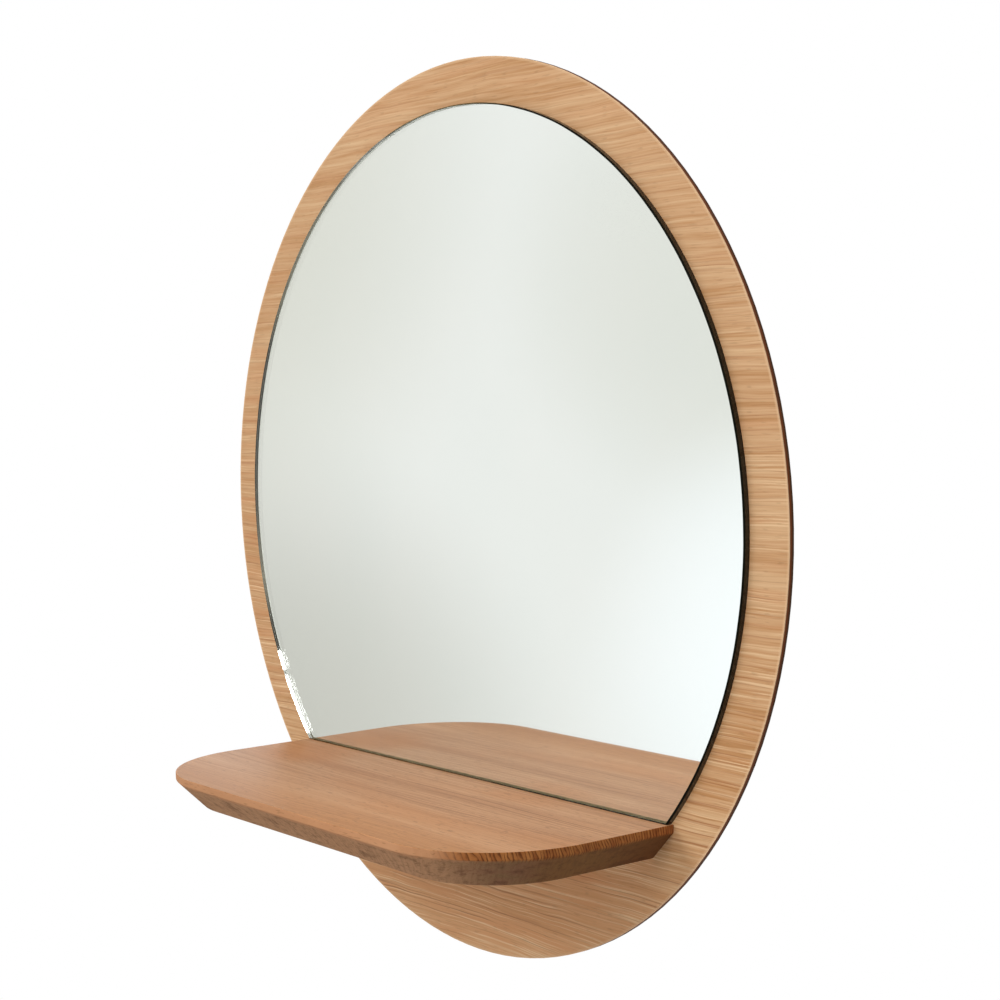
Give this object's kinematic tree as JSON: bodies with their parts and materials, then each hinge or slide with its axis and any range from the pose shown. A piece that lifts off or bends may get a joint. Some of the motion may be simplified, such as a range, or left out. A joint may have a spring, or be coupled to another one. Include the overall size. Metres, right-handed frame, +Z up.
{
  "type": "wall mirror with shelf",
  "caption": "Round wall mirror on a thin oak-veneered disc, with a bevelled solid oak shelf at its foot, hung on a hidden split rail.",
  "frame": {"origin": "midway between the wall rail's two screw holes, in the plane of the wall", "axes": "+X to the right along the wall seen from the front, +Y into the wall, +Z up; the front looks along -Y"},
  "size_m": [0.4999, 0.143, 0.5],
  "materials": {
    "oak_veneer": "matt oiled, straight horizontal grain",
    "board_core": "heat-cut dark brown edge",
    "mirror_glass": "polished, ground arris, green edge",
    "mirror_coating": "silvered, grey protective paint behind",
    "mirror_tape": "thin double-sided tape",
    "solid_oak": "matt oiled, open grain",
    "pine": "planed, raw",
    "beech": "turned, raw",
    "zinc_steel": "bright zinc plated",
    "felt": "pressed wool felt"
  },
  "bodies": {
    "root": {"front_veneer": "oak_veneer", "board_core": "board_core", "back_veneer": "oak_veneer", "mirror_glass": "mirror_glass", "mirror_coating": "mirror_coating", "mirror_tape_1": "mirror_tape", "mirror_tape_2": "mirror_tape", "mirror_tape_3": "mirror_tape", "mirror_tape_4": "mirror_tape", "mirror_tape_5": "mirror_tape", "shelf": "solid_oak", "shelf_batten": "pine", "shelf_dowel_left": "beech", "shelf_dowel_right": "beech", "shelf_screw_1": "zinc_steel", "shelf_screw_2": "zinc_steel", "shelf_screw_3": "zinc_steel", "shelf_screw_4": "zinc_steel", "hanging_rail": "pine", "wall_rail": "pine", "wall_pad_left": "felt", "wall_pad_right": "felt"}
  },
  "joints": []
}
